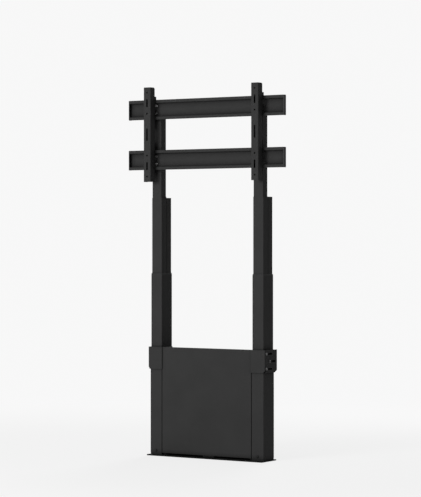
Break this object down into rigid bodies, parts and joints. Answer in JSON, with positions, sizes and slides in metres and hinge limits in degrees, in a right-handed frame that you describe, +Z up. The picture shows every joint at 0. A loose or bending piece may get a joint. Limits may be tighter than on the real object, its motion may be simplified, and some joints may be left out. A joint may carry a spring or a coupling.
{
  "type": "motorized tv mount",
  "caption": "Floor-standing motorized TV lift: twin telescopic columns on a base plate with a sheet cover, wall clamps, crossbars and sliding display arms.",
  "frame": {"origin": "on the floor under the base plate, midway between the two columns' axes", "axes": "+X to the right seen from the front, +Y into the wall, +Z up"},
  "size_m": [0.866, 0.1734, 1.755],
  "materials": {
    "powder_coat": "matt fine-textured powder coat",
    "black_plastic": "moulded, satin",
    "dark_screws": "dark zinc",
    "zinc_steel": "bright zinc",
    "ground_steel": "ground and oiled",
    "cast_aluminium": "as cast",
    "bronze": "turned",
    "motor_paint": "semi-gloss",
    "box_plastic": "fine grained"
  },
  "bodies": {
    "base": {"base_plate": "powder_coat", "floor_screws": "dark_screws", "tube_screws": "dark_screws", "gearmotor": "motor_paint", "front_cover": "powder_coat", "rear_tray": "powder_coat", "cover_studs": "zinc_steel", "control_box": "box_plastic", "power_supply": "cast_aluminium", "mains_inlet": "black_plastic", "wall_rail": "powder_coat", "clamp_spacers": "zinc_steel", "clamp_screws": "dark_screws", "nut_plates": "zinc_steel", "left_foot_block": "powder_coat", "left_outer_tube": "powder_coat", "left_outer_liner": "black_plastic", "left_gearbox": "cast_aluminium", "left_screw_bearing": "ground_steel", "left_wall_clamp": "powder_coat", "right_foot_block": "powder_coat", "right_outer_tube": "powder_coat", "right_outer_liner": "black_plastic", "right_gearbox": "cast_aluminium", "right_screw_bearing": "ground_steel", "right_wall_clamp": "powder_coat"},
    "carriage": {"lower_crossbar": "powder_coat", "upper_crossbar": "powder_coat", "crossbar_screws": "dark_screws", "crossbar_caps": "black_plastic", "left_inner_tube": "powder_coat", "left_inner_shoe": "black_plastic", "left_lift_nut": "bronze", "left_upright": "powder_coat", "right_inner_tube": "powder_coat", "right_inner_shoe": "black_plastic", "right_lift_nut": "bronze", "right_upright": "powder_coat"},
    "shaft": {"cross_shaft": "ground_steel", "shaft_hubs": "zinc_steel"},
    "left_middle_stage": {"left_middle_tube": "powder_coat", "left_middle_liner": "black_plastic", "left_middle_shoe": "black_plastic", "left_nut_carrier": "cast_aluminium", "left_drive_nut": "bronze", "left_thrust_bearing": "ground_steel"},
    "left_drive_screw_body": {"left_drive_screw": "ground_steel"},
    "left_second_screw_body": {"left_second_screw": "ground_steel"},
    "left_arm": {"left_vesa_arm": "powder_coat", "left_arm_lock": "powder_coat"},
    "right_middle_stage": {"right_middle_tube": "powder_coat", "right_middle_liner": "black_plastic", "right_middle_shoe": "black_plastic", "right_nut_carrier": "cast_aluminium", "right_drive_nut": "bronze", "right_thrust_bearing": "ground_steel"},
    "right_drive_screw_body": {"right_drive_screw": "ground_steel"},
    "right_second_screw_body": {"right_second_screw": "ground_steel"},
    "right_arm": {"right_vesa_arm": "powder_coat", "right_arm_lock": "powder_coat"}
  },
  "joints": [
    {"name": "lift", "type": "slide", "parent": "base", "child": "carriage", "axis": [0, 0, 1], "range_m": [-0.7, 0]},
    {"name": "left_stage_slide", "type": "slide", "parent": "base", "child": "left_middle_stage", "axis": [0, 0, 1], "range_m": [-0.3501, 0]},
    {"name": "left_drive_screw_turn", "type": "hinge", "parent": "base", "child": "left_drive_screw_body", "pos_m": [-0.2835, 0, 0.1], "axis": [0, 0, 1], "range_deg": [0, 10501]},
    {"name": "left_second_screw_turn", "type": "hinge", "parent": "left_middle_stage", "child": "left_second_screw_body", "pos_m": [-0.2835, 0, 0.5], "axis": [0, 0, 1], "range_deg": [0, 10501]},
    {"name": "right_stage_slide", "type": "slide", "parent": "base", "child": "right_middle_stage", "axis": [0, 0, 1], "range_m": [-0.3501, 0]},
    {"name": "right_drive_screw_turn", "type": "hinge", "parent": "base", "child": "right_drive_screw_body", "pos_m": [0.2835, 0, 0.1], "axis": [0, 0, 1], "range_deg": [0, 10501]},
    {"name": "right_second_screw_turn", "type": "hinge", "parent": "right_middle_stage", "child": "right_second_screw_body", "pos_m": [0.2835, 0, 0.5], "axis": [0, 0, 1], "range_deg": [0, 10501]},
    {"name": "shaft_turn", "type": "hinge", "parent": "base", "child": "shaft", "pos_m": [0, 0, 0.031], "axis": [1, 0, 0], "range_deg": [0, 10501]},
    {"name": "left_arm_slide", "type": "slide", "parent": "carriage", "child": "left_arm", "axis": [1, 0, 0], "range_m": [-0.1, 0.2]},
    {"name": "right_arm_slide", "type": "slide", "parent": "carriage", "child": "right_arm", "axis": [1, 0, 0], "range_m": [-0.2, 0.1]}
  ],
  "couplings": [
    {"joint": "left_stage_slide", "follows": "lift", "ratio": 0.5},
    {"joint": "left_drive_screw_turn", "follows": "lift", "rad_per_m": -261.8},
    {"joint": "left_second_screw_turn", "follows": "lift", "rad_per_m": -261.8},
    {"joint": "right_stage_slide", "follows": "lift", "ratio": 0.5},
    {"joint": "right_drive_screw_turn", "follows": "lift", "rad_per_m": -261.8},
    {"joint": "right_second_screw_turn", "follows": "lift", "rad_per_m": -261.8},
    {"joint": "shaft_turn", "follows": "lift", "rad_per_m": -261.8}
  ]
}
